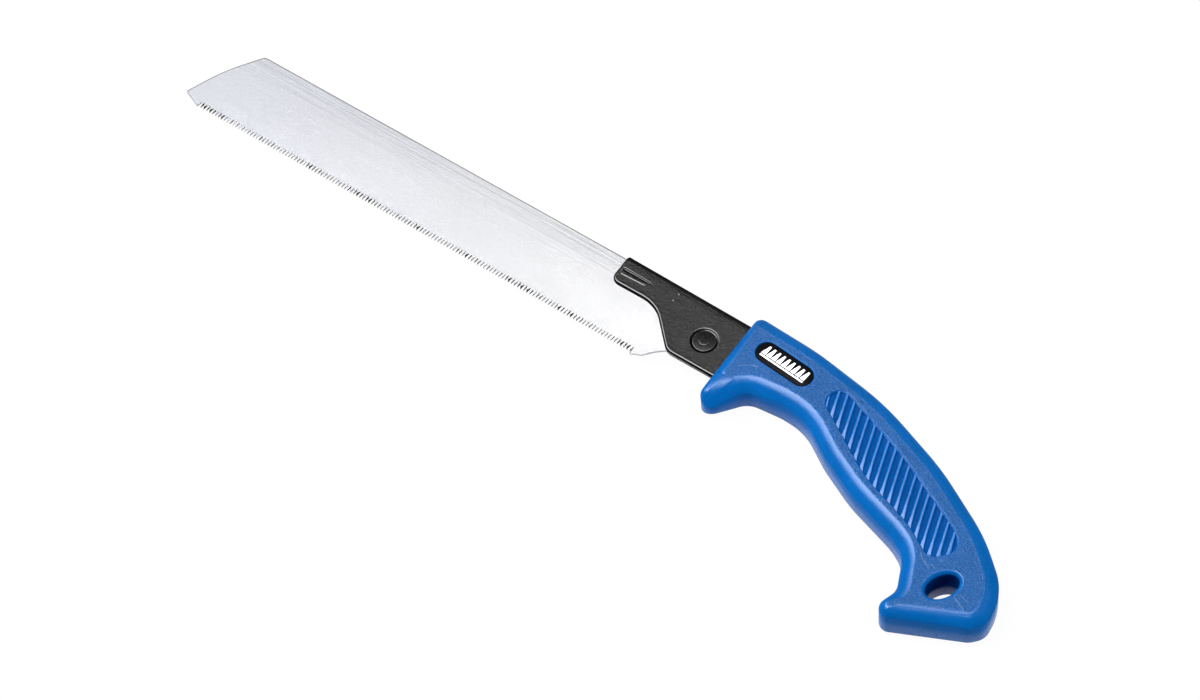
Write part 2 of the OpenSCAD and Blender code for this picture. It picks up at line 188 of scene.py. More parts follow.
# Ribbed panel
PANEL_DEPTH = 1.5
RIB_PITCH = 4.2
RIB_FOOT = 2.4
RIB_CREST = 1.0
RIB_SINK = 0.4
RIB_FALL = 0.65
RIB_FADE = 9.0
RIB_START = 66.7
RIB_LEAN = math.tan(math.radians(17))
RIB_SOFT = 0.05
RIB_SAMPLES = 3

# Grid of the ribbed panel: inset, columns at the ends and for each rib, rows by the edges with their
# fillets, rows between as shares of a rib's length, length of a full column, and the lip's width
PANEL_INSET = 0.75
END_COLUMNS = [0.02, 0.08, 0.18, 0.32, 0.5, 0.75]
END_MARGIN = 1
RIB_COLUMNS = 28
FOOT_ROWS = [0.0, 0.12, 0.3, 0.55]
FOOT_FILLETS = [0.45, 0.18, 0.04]
RIB_ROWS = [0.05, 0.12, 0.2, 0.3, 0.42, 0.6, 0.8]
FULL_COLUMN = 2.4
PANEL_LIP = 0.9

# Badges
BADGE_AT = (40.5, 5.1)
BADGE_LEN = 30.4
BADGE_WIDTH = 10.8
BADGE_TILT = math.radians(-5)
BADGE_DEPTH = 1.2
BADGE_THICK = 0.9
BADGE_ROUND = 0.35
RECESS_CLEAR = 0.1
RECESS_WALL = 0.12
RECESS_LIP = 0.5

# Plain mark on a badge: a row of teeth over a line
MARK_TEETH = 9
MARK_PITCH = 2.75
MARK_GAP = 0.2
MARK_POINT = 1.1
MARK_ROWS = (-1.5, 3.3)
MARK_LINE = (12.2, -2.9, -2.1)
MARK_RISE = 0.025
MARK_SINK = 0.05

# Hang hole and screws
HOLE_AT = (159.6, -50.8)
HOLE_LEN = 16.0
HOLE_WIDTH = 10.2
HOLE_TILT = math.radians(61)
HOLE_LIP = 2.4
SCREW_BORE_R = 3.3
SCREW_SEAT = 5.2
GRIP_SCREW = (103.0, -12.0)
BUTT_SCREW = (172.0, -47.0)

FRONT_LEAN = (TOP_SETBACK + GUARD_LEAD) / (HANDLE_RISE - GUARD_TIP)
SLOT_LOW = -CHEEK_DROP - SLOT_GAP
SLOT_HIGH = FOLD_Y + LEAF_OUT + SLOT_GAP


def front_x(y):
    """Place of the handle's front face at a height."""
    return HANDLE_FRONT - GUARD_LEAD + FRONT_LEAN * (y - GUARD_TIP)


def fold_line(x):
    """Height of the fold's line, which falls toward the handle."""
    return FOLD_Y - FOLD_FALL * (x - HOLDER_FRONT) / (FOLD_END - HOLDER_FRONT)


def badge_spot(u, v):
    """Place of a point that is given along and across the badge."""
    return Vector(BADGE_AT) + Matrix.Rotation(BADGE_TILT, 2) @ Vector((u, v))


# Corners as (x, y, radius), anticlockwise. A fourth number is the share of an inset that the edge
# after the corner takes. The handle's last two corners are where the slot's lower end steps
HANDLE = [
    (HANDLE_FRONT - GUARD_LEAD, GUARD_TIP, 5.2, GUARD_SHARE),
    (HANDLE_FRONT + 17.6, HOLLOW_Y - 2.5, 10, 1.1),
    (HANDLE_FRONT + 34.5, HOLLOW_Y - 0.3, 30, 1.05),
    (HANDLE_FRONT + 47.4, HOLLOW_Y - 0.9, 30, 1.03),
    (HANDLE_FRONT + 65.2, HOLLOW_Y - 12.1, 40),
    (HANDLE_FRONT + 84.9, HOLLOW_Y - 21.6, 80),
    (BUTT_X - 57.6, BUTT_Y + 35.9, 40),
    (BUTT_X - 48.7, BUTT_Y + 30.8, 16, 0.94),
    (BUTT_X - 41.7, BUTT_Y + 15.0, 8, 0.94),
    (BUTT_X - 47.7, BUTT_Y - 2.7, 4.8, 1.08),
    (BUTT_X - 5.4, BUTT_Y + 16.2, 9),
    (BUTT_X - 0.2, BUTT_Y + 21.6, 8.5),
    (BUTT_X - 2, BUTT_Y + 39.1, 30),
    (BUTT_X - 24, BUTT_Y + 58.5, 90),
    (BUTT_X - 57.7, BUTT_Y + 76.8, 140),
    (HANDLE_FRONT + 73.3, HANDLE_RISE - 7.7, 140),
    (HANDLE_FRONT + 33.8, HANDLE_RISE - 1.5, 140),
    (HANDLE_FRONT + TOP_SETBACK, HANDLE_RISE - 0.02, 4.2, FRONT_SHARE),
    (front_x(SLOT_LOW + 0.02), SLOT_LOW + 0.02, 0, FRONT_LOW_SHARE),
    (front_x(SLOT_LOW - 0.02), SLOT_LOW - 0.02, 0, FRONT_LOW_SHARE),
]
GUARD_AT = 0
HOOK_AT = 9
PANEL = [
    (HANDLE_FRONT + 49.5, HOLLOW_Y + 9.5, 6),
    (HANDLE_FRONT + 87, HOLLOW_Y - 13.3, 60),
    (BUTT_X - 54, BUTT_Y + 43.2, 60),
    (BUTT_X - 38, BUTT_Y + 33.5, 7),
    (BUTT_X - 27, BUTT_Y + 44, 7),
    (BUTT_X - 34.5, BUTT_Y + 52.4, 14),
    (HANDLE_FRONT + 95, HOLLOW_Y + 6, 120),
    (HANDLE_FRONT + 53, HOLLOW_Y + 21.2, 6),
]
BADGE = []
for along, across in ((-1, -1), (1, -1), (1, 1), (-1, 1)):
    spot = badge_spot(along * BADGE_LEN / 2, across * BADGE_WIDTH / 2)
    BADGE.append((spot.x, spot.y, BADGE_WIDTH / 2 - 0.01))
BLADE_BACK = [
    (HEEL_X, GULLET_Y, 0),
    (HEEL_X, HEEL_Y, 0.4),
    (HEEL_X + 5.6, HEEL_Y + 2.6, 2),
    (HEEL_X + 9.2, HEEL_Y + 6.8, 8),
    (HEEL_X + 13.8, HEEL_Y + 10.7, 5),
    (-7, -9, 3),
    (-HOOK_R, -8.4, 0.5),
    (-HOOK_R, HOOK_R, HOOK_R - 0.01),
    (HOOK_R, HOOK_R, HOOK_R - 0.01),
    (HOOK_R, -7.7, 0.5),
    (HOOK_R + HOOK_ARM, -7, 3),
    (HOOK_R + HOOK_ARM, 5, 4),
    (-7, fold_line(-7) + SPINE - FOLD_Y, 10),
    (3 + HOLDER_FRONT, SPINE, 60),
    (NOSE_X + 20, SPINE, 3),
    (NOSE_X + 8.2, (SPINE + POINT_Y) / 2 + 2.9, 80),
    (NOSE_X, POINT_Y + 3.9, 1),
    (TOE_X - 0.8, POINT_Y, 0),
]
LEAF = [
    (HOLDER_FRONT, TONGUE_RISE, 4),
    (-CHEEK_AHEAD - TONGUE_RISE, TONGUE_RISE, 18),
    (-CHEEK_AHEAD + CHEEK_DROP, -CHEEK_DROP, 7),
    (FOLD_END, -CHEEK_DROP, 1),
    (FOLD_END, TANG_LOW, 1),
    (TANG_END, TANG_LOW, 4),
    (TANG_END, TANG_HIGH, 4),
    (FOLD_END, TANG_HIGH, 1),
]

# Limits of an outline's arcs: how far a straight step may lie off the arc, and the least shares of its
# radius that an inset and a neighbour leave it
ARC_GAP = 0.012
LEAST_RADIUS = 0.4
LEAST_FIT = 0.05


def left_of(v):
    """The direction to the left of a direction."""
    return Vector((-v.y, v.x))


def outline(corners, inset=0.0):
    """Closed outline of rounded corners, moved inward. Copies at other insets match point for point."""
    count = len(corners)
    spots = [Vector(c[:2]) for c in corners]
    insets = [inset * (c[3] if len(c) > 3 else 1) for c in corners]
    runs = [(spots[(i + 1) % count] - spots[i]).normalized() for i in range(count)]
    turns = [math.atan2(runs[i - 1].cross(runs[i]), runs[i - 1].dot(runs[i])) for i in range(count)]
    moved = []
    radii = []
    for i in range(count):
        before, after = left_of(runs[i - 1]), left_of(runs[i])
        own = corners[i][2]
        reach = (before + after) * (insets[i - 1] + insets[i]) / 2 / (1 + before.dot(after))
        if own > 0:
            bend = max(TINY, 1 - before.dot(after))
            reach += (before - after) * (insets[i - 1] - insets[i]) / 2 / bend
        moved.append(spots[i] + reach)
        radii.append(max(own - inset, own * LEAST_RADIUS) if turns[i] > 0 else own + inset)
    sides = [r * math.tan(abs(t) / 2) for r, t in zip(radii, turns)]
    points = []
    for i in range(count):
        own = corners[i][2]
        if own == 0:
            points.append(moved[i])
            continue
        fit = 1.0
        for a, b in ((i - 1, i), (i, (i + 1) % count)):
            if corners[a][2] > 0 and corners[b][2] > 0:
                room = (moved[b] - moved[a]).dot(runs[a])
                fit = min(fit, room / max(TINY, sides[a] + sides[b]))
        radius = radii[i] * max(fit, LEAST_FIT)
        start = moved[i] - runs[i - 1] * radius * math.tan(abs(turns[i]) / 2)
        centre = start + left_of(runs[i - 1]) * math.copysign(radius, turns[i])
        steps = max(2, math.ceil(abs(turns[i]) / (2 * math.acos(1 - ARC_GAP / own))))
        for k in range(steps + 1):
            points.append(centre + Matrix.Rotation(turns[i] * k / steps, 2) @ (start - centre))
    return points


def handle_outline(inset):
    """The handle's outline. The slot's two points slide up the front to make room for the guard."""
    points = outline(HANDLE, inset)
    for k in (1, 2):
        lift = points[0].y + SLOT_GAP * k - points[-k].y
        if lift > 0:
            points[-k] += Vector((FRONT_LEAN, 1)) * lift
    return points


def circle(radius, count, centre=(0, 0)):
    """Points round a circle."""
    turns = [2 * math.pi * k / count for k in range(count)]
    return [Vector((centre[0] + radius * math.cos(t), centre[1] + radius * math.sin(t))) for t in turns]


def hole_oval(grow, count=96):
    """Outline of the hang hole, moved outward along its normals."""
    turn = Matrix.Rotation(HOLE_TILT, 2)
    points = []
    for k in range(count):
        c = math.cos(2 * math.pi * k / count)
        s = math.sin(2 * math.pi * k / count)
        spot = Vector((HOLE_LEN / 2 * c, HOLE_WIDTH / 2 * s))
        outward = Vector((HOLE_WIDTH * c, HOLE_LEN * s)).normalized()
        points.append(Vector(HOLE_AT) + turn @ (spot + outward * grow))
    return points


def quarter(steps):
    """Sine and cosine along a quarter turn."""
    turns = [math.pi / 2 * k / steps for k in range(steps + 1)]
    return [(math.sin(t), math.cos(t)) for t in turns]


def ease(value, low, high):
    """Soft step from 0 at the low value to 1 at the high one."""
    share = min(max((value - low) / (high - low), 0.0), 1.0)
    return share * share * (3 - 2 * share)


class Skin:
    """A closed surface put together from rings of points."""

    def __init__(self):
        self.points = []
        self.faces = []
        self.paints = []

    def ring(self, points):
        """Keeps the points and gives their numbers."""
        start = len(self.points)
        self.points.extend(points)
        return list(range(start, len(self.points)))

    def level(self, points, z):
        """Ring of flat points lifted to a height, which is one number or one for each point."""
        heights = z if isinstance(z, list) else [z] * len(points)
        return self.ring([Vector((p.x, p.y, h)) for p, h in zip(points, heights)])

    def face(self, spots, paint=0):
        self.faces.append(tuple(spots))
        self.paints.append(paint)

    def band(self, a, b, paint=0):
        """Joins two rings of as many points."""
        for i in range(len(a)):
            j = (i + 1) % len(a)
            self.face((a[i], a[j], b[j], b[i]), paint)

    def tube(self, rings):
        """Joins each ring to the next."""
        for a, b in zip(rings, rings[1:]):
            self.band(a, b)

    def prism(self, points, low, high, paint=0):
        """Closed block between two heights."""
        ends = [self.level(points, low), self.level(points, high)]
        self.band(*ends, paint)
        for end in ends:
            self.face(end, paint)

    def net(self, columns, paint=0):
        """Joins each column of a grid to the next."""
        for a, b in zip(columns, columns[1:]):
            for k in range(len(a) - 1):
                self.face((a[k], b[k], b[k + 1], a[k + 1]), paint)

    def cap(self, rings):
        """Fills the first ring, less the rings inside it."""
        flat = [i for ring in rings for i in ring]
        loops = [[Vector((self.points[i].x, self.points[i].y, 0)) for i in ring] for ring in rings]
        for triangle in tessellate_polygon(loops):
            self.face([flat[k] for k in triangle])

    def piece(self, name, body, slot, finishes, replaced=None, side=1, crease=35, bend=None):
        """Builds the mesh in the saw's frame, mirrored to the right face where side is -1."""
        mesh = bpy.data.meshes.new(name)
        spots = [PIN + Vector((p.x, p.y, p.z * side)) * MM for p in self.points]
        mesh.from_pydata(spots, [], self.faces)
        for finish in finishes:
            mesh.materials.append(finish)
        mesh.polygons.foreach_set("material_index", self.paints)
        tidy = bmesh.new()
        tidy.from_mesh(mesh)
        bmesh.ops.remove_doubles(tidy, verts=tidy.verts, dist=1e-7)
        bmesh.ops.dissolve_degenerate(tidy, dist=1e-8, edges=tidy.edges)
        if bend:
            bend(tidy)
        bmesh.ops.recalc_face_normals(tidy, faces=tidy.faces)
        tidy.to_mesh(mesh)
        tidy.free()
        mesh.polygons.foreach_set("use_smooth", [True] * len(mesh.polygons))
        mesh.set_sharp_from_angle(angle=math.radians(crease))
        obj = in_scene(name, mesh)
        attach(obj, body)
        if replaced:
            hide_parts(replaced)
        return obj


# Handle shells

def rib_height(across):
    """Height of the ribs over the panel's floor, averaged over a short run for soft crests and feet."""
    spread = math.cos(math.atan(RIB_LEAN))
    shares = []
    for k in range(-RIB_SAMPLES, RIB_SAMPLES + 1):
        place = (across + RIB_SOFT * k - RIB_START + RIB_PITCH / 2) % RIB_PITCH - RIB_PITCH / 2
        slope = (RIB_FOOT / 2 - abs(place * spread)) / (RIB_FOOT / 2 - RIB_CREST / 2)
        shares.append(min(max(slope, 0.0), 1.0))
    return sum(shares) / len(shares) * (PANEL_DEPTH - RIB_SINK)


def crest_height(reach):
    """Height of a rib's crest at a distance from its end on the fingers' side, where it falls."""
    fade = max(0.0, 1 - reach / RIB_FADE)
    return PANEL_DEPTH - RIB_SINK - RIB_FALL * fade * fade


def panel_column(edge, across, place):
    """Points of the ribbed panel along one line beside the ribs, from its lower to its upper edge."""
    cuts = []
    for i in range(len(edge)):
        a, b = across[i - 1], across[i]
        if (a - place) * (b - place) < 0:
            share = (place - a) / (b - a)
            cuts.append(edge[i - 1].y + (edge[i].y - edge[i - 1].y) * share)
    bottom, top = min(cuts), max(cuts)
    reach = min(1.0, (top - bottom) / FULL_COLUMN)
    low_end, high_end = bottom + FOOT_ROWS[-1] * reach, top - FOOT_ROWS[-1] * reach
    rows = [bottom + f * reach for f in FOOT_ROWS]
    rows += [low_end + (high_end - low_end) * s for s in RIB_ROWS]
    rows += [top - f * reach for f in reversed(FOOT_ROWS)]
    fillets = FOOT_FILLETS + [0.0] * (len(rows) - 2 * len(FOOT_FILLETS)) + FOOT_FILLETS[::-1]
    rise = rib_height(place)
    points = []
    for y, fillet in zip(rows, fillets):
        height = max(min(rise, crest_height(y - bottom)), fillet)
        points.append(Vector((place - RIB_LEAN * y, y, HALF - PANEL_DEPTH + height)))
    return points


def panel(skin):
    """Ribbed panel as a grid along the ribs, and the ring of its lip on the face."""
    edge = outline(PANEL, PANEL_INSET)
    across = [p.x + RIB_LEAN * p.y for p in edge]
    low, high = min(across), max(across)
    first = math.ceil((low + END_MARGIN - RIB_START) / RIB_PITCH * RIB_COLUMNS)
    last = math.floor((high - END_MARGIN - RIB_START) / RIB_PITCH * RIB_COLUMNS)
    columns = [low + e for e in END_COLUMNS]
    columns += [RIB_START + RIB_PITCH * k / RIB_COLUMNS for k in range(first, last + 1)]
    columns += [high - e for e in reversed(END_COLUMNS)]
    grid = [skin.ring(panel_column(edge, across, place)) for place in columns]
    skin.net(grid, 1)
    loop = [column[0] for column in grid] + grid[-1][1:-1]
    loop += [column[-1] for column in reversed(grid)] + grid[0][-2:0:-1]
    return lip_walls(skin, loop, PANEL_LIP)


def lip_walls(skin, loop, width):
    """Wall and rounded lip from a loop of points up to the face."""
    spots = [skin.points[i] for i in loop]
    count = len(spots)
    outward = []
    for i in range(count):
        along = (spots[(i + 1) % count] - spots[i - 1]).to_2d()
        outward.append(-left_of(along).normalized())
    rings = [loop]
    radius = width * 0.7
    shape = [(width - radius - 0.1, HALF - radius * 1.05)]
    shape += [(width - radius + radius * (1 - c), HALF - radius * (1 - s)) for s, c in quarter(5)]
    shape += [(width + LIP_LAND, HALF)]
    for reach, z in shape:
        rings.append(skin.level([s.to_2d() + o * reach for s, o in zip(spots, outward)], z))
    skin.tube(rings)
    return rings[-1]


# The guard's flank and the hook's underside give the directions in which the two tips fall away
GUARD_CORNER = Vector(HANDLE[GUARD_AT][:2])
GUARD_RUN = (Vector(HANDLE[GUARD_AT + 1][:2]) - GUARD_CORNER).normalized()
HOOK_CORNER = Vector(HANDLE[HOOK_AT][:2])
HOOK_RUN = (Vector(HANDLE[HOOK_AT + 1][:2]) - HOOK_CORNER).normalized()

# Strips into which the faces by the tips are cut: corner, direction across the strips, distance of the
# first cut, width, count, and how near to the corner a face has to come
TIP_STRIPS = [
    (GUARD_CORNER, left_of(GUARD_RUN), 9.4, 0.75, 10, 46),
    (GUARD_CORNER, GUARD_RUN, 8, 1.5, 23, 46),
    (HOOK_CORNER, HOOK_RUN, 1, 1, 13, 24),
]


def by_guard(spot):
    """Distance from the guard's flank, distance along it and a share that fades to 0 off the guard."""
    offset = spot - GUARD_CORNER
    along = offset.dot(GUARD_RUN)
    share = ease(along, *GUARD_ALONG) * ease(offset.length, *GUARD_NEAR)
    return offset.dot(left_of(GUARD_RUN)), along, share


def by_tip(spot):
    """1 along the guard's flank and round the hook's tip, fading to 0 away from them."""
    away, _, share = by_guard(spot)
    reach = (spot - HOOK_CORNER).length
    return max(share * ease(away, *GUARD_ROUND), ease(reach, *HOOK_ROUND))


def fall(spot):
    """How far the face lies under the flat at a place by the guard's tip or the hook's tip."""
    away, along, share = by_guard(spot)
    guard = GUARD_BEND * max(0.0, GUARD_REACH - away) ** 2 / 2 * share * (1 + ease(along, *GUARD_DOUBLE))
    reach = (spot - HOOK_CORNER).dot(HOOK_RUN)
    hook = HOOK_BEND * max(0.0, HOOK_REACH - reach) ** 2 / 2 * ease(spot.y, *HOOK_LEVELS)
    return guard + hook


def flat_spot(v):
    """Place of a mesh point in millimetres from the pin, seen from the left."""
    return ((v.co - PIN) / MM).to_2d()


def bend_tips(tidy):
    """Cuts the faces by the two tips into strips and bends them."""
    for corner, across, first, width, count, zone in TIP_STRIPS:
        for k in range(count):
            place = first + width * k
            near = []
            for face in tidy.faces:
                spots = [flat_spot(v) - corner for v in face.verts]
                if min(s.length for s in spots) < zone and min(s.dot(across) for s in spots) < place:
                    near.append(face)
            edges = list(dict.fromkeys(e for face in near for e in face.edges))
            verts = list(dict.fromkeys(v for face in near for v in face.verts))
            spot = PIN + (corner + across * place).to_3d() * MM
            bmesh.ops.bisect_plane(tidy, geom=near + edges + verts, dist=1e-7, plane_co=spot,
                                   plane_no=across.to_3d())
    for v in tidy.verts:
        v.co.z = PIN.z + (v.co.z - PIN.z) * (1 - fall(flat_spot(v)) / HALF)


def handle_shell():
    """Half of the handle: rounded outside, sunk details, hollow inside."""
    skin = Skin()
    rim = handle_outline(0.0)
    wall = handle_outline(SHELL_WALL)
    in_slot = [p.x < HANDLE_FRONT + 4 and SLOT_LOW < p.y < SLOT_HIGH for p in rim]
    lift = [SLOT_HALF if s else 0.0 for s in in_slot]
    ceiling = skin.level(wall, HALF - FACE_WALL)
    rings = [ceiling, skin.level(wall, lift), skin.level(rim, lift)]
    powers = [EDGE_POWER + (TIP_POWER - EDGE_POWER) * by_tip(p) for p in rim]
    for _, c in quarter(EDGE_STEPS):
        left = c ** (2 / EDGE_POWER)
        heights = [HALF - EDGE_DROP * (1 - (1 - left ** n) ** (1 / n)) for n in powers]
        rings.append(skin.level(handle_outline(EDGE_ROUND * (1 - left)), heights))
    rings.append(skin.level(handle_outline(EDGE_ROUND + EDGE_LAND), HALF))
    skin.tube(rings)

    bore = hole_oval(SHELL_WALL)
    hole = [skin.level(bore, HALF - FACE_WALL), skin.level(bore, 0.0), skin.level(hole_oval(0.0), 0.0)]
    for s, c in quarter(10):
        hole.append(skin.level(hole_oval(HOLE_LIP * (1 - c)), HALF - HOLE_LIP * (1 - s)))
    hole.append(skin.level(hole_oval(HOLE_LIP + LIP_LAND), HALF))
    skin.tube(hole)
    skin.cap([ceiling, hole[0]])

    floor = HALF - BADGE_DEPTH
    recess = [skin.level(outline(BADGE, RECESS_CLEAR), floor)]
    recess.append(skin.level(outline(BADGE, -RECESS_CLEAR), floor + 2 * RECESS_CLEAR))
    for s, c in quarter(5):
        inset = -RECESS_WALL - RECESS_LIP * (1 - c)
        recess.append(skin.level(outline(BADGE, inset), HALF - RECESS_LIP * (1 - s)))
    recess.append(skin.level(outline(BADGE, -RECESS_WALL - RECESS_LIP - LIP_LAND), HALF))
    skin.tube(recess)
    skin.cap([recess[0]])

    skin.cap([rings[-1], panel(skin), recess[-1], hole[-1]])
    return skin


def drill(obj, spots):
    """Cuts the screws' counterbores out of the right shell."""
    skin = Skin()
    for spot in spots:
        skin.prism(circle(SCREW_BORE_R, 48, spot), -HALF - 2, -SCREW_SEAT)
    cutter = skin.piece("bore_cutter", "handle", "handle_blue", [])
    change = obj.modifiers.new("bores", "BOOLEAN")
    change.operation = "DIFFERENCE"
    change.solver = "EXACT"
    change.object = cutter
    bpy.context.view_layer.update()
    cut = bpy.data.meshes.new_from_object(obj.evaluated_get(bpy.context.evaluated_depsgraph_get()))
    obj.modifiers.clear()
    obj.data = cut
    cut.set_sharp_from_angle(angle=math.radians(35))
    bpy.data.objects.remove(cutter)


# Badges

def badge_piece(side, name, replaced, finishes):
    """Plate with a rounded edge and the plain mark, which reads from left to right on both faces."""
    skin = Skin()
    floor = HALF - BADGE_DEPTH
    top = floor + BADGE_THICK
    rings = [skin.level(outline(BADGE), floor)]
    for s, c in quarter(5):
        rings.append(skin.level(outline(BADGE, BADGE_ROUND * (1 - c)), top - BADGE_ROUND * (1 - s)))
    skin.tube(rings)
    skin.cap([rings[0]])
    skin.cap([rings[-1]])

    def print_shape(shape):
        spots = [badge_spot(side * u, v) for u, v in shape]
        skin.prism(spots, top - MARK_SINK, top + MARK_RISE, 1)

    foot, point = MARK_ROWS
    for k in range(MARK_TEETH):
        start = (k - MARK_TEETH / 2) * MARK_PITCH
        left, right = start + MARK_GAP, start + MARK_PITCH - MARK_GAP
        tip = start + MARK_PITCH - MARK_POINT
        print_shape([(left, foot), (right, foot), (right, point), (tip, point)])
    half, low_side, high_side = MARK_LINE
    print_shape([(-half, low_side), (half, low_side), (half, high_side), (-half, high_side)])
    return skin.piece(name, "handle", "badge_black", finishes, replaced, side)


# Blade

def tooth_shade(tooth):
    """Uneven grinding, with painted shade on the ground bevels: teeth by the heel are dark, the others
    are dark or pale in loose groups.
    """
    shade = math.sin(0.37 * tooth) + math.sin(1.9 * tooth + 1) + 0.6 * math.sin(0.11 * tooth + 2)
    if tooth >= TOOTH_COUNT - DEEP_SHADE_HEEL_TEETH or shade > 1.0:
        return DEEP_SHADE
    return FAINT_SHADE if shade < 0 else MID_SHADE


def blade_skin():
    """Plate with bevelled edges. Each tooth is ground from one side, in turn left and right."""
    skin = Skin()
    teeth = []
    for i in range(TOOTH_COUNT):
        teeth.append((TOE_X + i * TOOTH_PITCH, GULLET_Y, 0))
        teeth.append((TOE_X + (i + TOOTH_BACK) * TOOTH_PITCH, POINT_Y, 0))
    corners = teeth + BLADE_BACK
    edge = outline(corners)
    face = outline(corners, BEVEL_WIDTH)
    for i in (len(teeth), -1):
        face[i] = edge[i] + CORNER_SHIFT
    land = [BLADE_HALF - BEVEL_DROP] * len(edge)
    under = list(face)
    under_land = [-z for z in land]
    for i in range(len(teeth)):
        tooth = i // 2
        ground, plain = (face, under) if tooth % 2 else (under, face)
        heights = land if tooth % 2 else under_land
        ground[i] = edge[i] + GROUND_SHIFTS[i % 2] * GRIND_WIDTH[tooth_shade(tooth)]
        plain[i] = edge[i] + PLAIN_SHIFTS[i % 2]
        heights[i] = 0.0
    top = skin.level(face, BLADE_HALF)
    upper = skin.level(edge, [max(a, b + LEAST_EDGE) for a, b in zip(land, under_land)])
    lower = skin.level(edge, under_land)
    bottom = skin.level(under, -BLADE_HALF)
    rings = [top, upper, lower, bottom]
    # The edge faces carry painted shade: each tooth's class, and middling shade along the blade's other
    # edges
    for a, b in zip(rings, rings[1:]):
        for i in range(len(a)):
            j = (i + 1) % len(a)
            skin.face((a[i], a[j], b[j], b[i]), tooth_shade(i // 2) if i < len(teeth) else MID_SHADE)
    skin.cap([top])
    skin.cap([bottom])
    return skin


# Holder, folded from one sheet

def bent(line, run, lead, radius):
    """Height and offset across a bend that starts a lead before the fold's line."""
    if run <= -lead:
        return line + run, radius
    if run >= FOLD_RUN + lead:
        return line + FOLD_RUN - run, -radius
    turn = math.pi * (run + lead) / (FOLD_RUN + 2 * lead)
    return line - lead + (radius + lead) * math.sin(turn), radius * math.cos(turn)


def folded(x, run, depth):
    """Place on the sheet: run is negative on the left leaf, and depth goes in from the outer face."""
    line = fold_line(x)
    outer = Vector(bent(line, run, BEND_LEAD, LEAF_OUT))
    inner = Vector(bent(line, run, 0.0, LEAF_IN))
    spot = outer.lerp(inner, depth / SHEET)
    return Vector((x, spot.x, spot.y))


def groove_depth(x, y):
    """Depth of the pinch groove, with a low ridge under it."""
    along = x - HOLDER_FRONT
    past = max(0.0, along - (GROOVE_LEN - GROOVE_NOSE)) / GROOVE_NOSE
    if past >= 1:
        return 0.0
    taper = GROOVE_HALF * (1 - GROOVE_TAPER * along / GROOVE_LEN)
    v = (y - GROOVE_Y) / (taper * math.sqrt(1 - past * past))
    if v >= 1 or v <= -1 - RIDGE_WIDTH:
        return 0.0
    if v > GROOVE_CORE:
        share = (1 - v) / (1 - GROOVE_CORE)
    elif v > -1:
        share = (v + 1) / (GROOVE_CORE + 1)
    else:
        ridge = math.sin(math.pi * (-1 - v) / RIDGE_WIDTH) ** 2
        return -RIDGE_RISE * ridge * (1 - past)
    return GROOVE_DEPTH * share * share * (3 - 2 * share)


def holder_skin():
    """Both leaves, the fold and the tang, as one closed sheet."""
    skin = Skin()
    left = [(x, y - fold_line(x), r) for x, y, r in LEAF]
    bend_step = (FOLD_RUN + 2 * BEND_LEAD) / FOLD_STEPS
    bend_runs = [-BEND_LEAD + bend_step * k for k in range(FOLD_STEPS + 1)]
    rear = [(FOLD_END, run, 0) for run in bend_runs]
    right = [(x, FOLD_RUN - run, r) for x, run, r in reversed(left)]
    front = [(HOLDER_FRONT, run, 0) for run in reversed(bend_runs)]

    # Rows of the groove's patch, as distances from the fold's line on the front edge
    low, high = GROOVE_PATCH
    line = fold_line(HOLDER_FRONT)
    rows = [low + (high - low) * k / GROOVE_ROWS - line for k in range(GROOVE_ROWS + 1)]
    front_left = [(HOLDER_FRONT, run, 0) for run in reversed(rows)]
    front_right = [(HOLDER_FRONT, FOLD_RUN - run, 0) for run in rows]
    corners = left + rear + right + front_right + front + front_left

    def sheet_ring(inset, depth):
        points = []
        for p in outline(corners, inset):
            spot = folded(p.x, p.y, depth)
            if depth < SHEET * 0.6 and p.x < HOLDER_FRONT + 1:
                spot.z -= math.copysign(groove_depth(p.x, spot.y), spot.z) * (1 - depth / SHEET)
            points.append(spot)
        return skin.ring(points)

    rings = [sheet_ring(SHEET_LAND, 0.0)]
    rings += [sheet_ring(inset, -SHEET_BEAD * share) for inset, share in ((1.9, 0.15), (1.5, 0.8))]
    for s, c in quarter(6):
        rings.append(sheet_ring(SHEET_ROUND * (1 - s), SHEET_ROUND * (1 - c) - SHEET_BEAD * c))
    rings += [sheet_ring(0.0, SHEET - SHEET_CHAMFER), sheet_ring(SHEET_CHAMFER, SHEET)]
    skin.tube(rings)

    first, last = bend_runs[0], bend_runs[-1]
    middle_x = (HOLDER_FRONT + FOLD_END) / 2
    seats = {}
    for ring, inset in ((rings[0], SHEET_LAND), (rings[-1], SHEET_CHAMFER)):
        points = outline(corners, inset)
        order = sorted(range(len(points)), key=lambda i: points[i].y)
        between = [i for i in order if first - TINY <= points[i].y <= last + TINY]
        back = [i for i in between if points[i].x > middle_x]
        fore = [i for i in between if points[i].x < middle_x]
        for k in range(FOLD_STEPS):
            skin.face((ring[back[k]], ring[back[k + 1]], ring[fore[k + 1]], ring[fore[k]]))
        on_left = [i for i in range(len(points)) if points[i].y <= first + TINY]
        on_right = [i for i in range(len(points)) if points[i].y >= last - TINY]
        for face, on_leaf in ((1, on_left), (-1, on_right)):
            if face in seats:
                skin.cap([[ring[i] for i in on_leaf], seats[face][-1]])
            else:
                seats[face] = seat_rings(skin, face)
                skin.cap([groove_patch(skin, ring, points, on_leaf, rows, face), seats[face][0]])
    return skin


def seat_rings(skin, face):
    """Round seat of the pin's head and the bore under it, from the lip to the inner face."""
    shape = [(SEAT_R + SEAT_LIP + 0.2, 0.0)]
    shape += [(SEAT_R + SEAT_LIP * (1 - s), SEAT_LIP * (1 - c)) for s, c in quarter(5)]
    shape += [(SEAT_R, SEAT_DEPTH - 0.1), (SEAT_R - 0.1, SEAT_DEPTH)]
    shape += [(HOOK_R, SEAT_DEPTH), (HOOK_R, SHEET)]
    rings = [skin.level(circle(radius, 96), face * (LEAF_OUT - depth)) for radius, depth in shape]
    skin.tube(rings)
    return rings


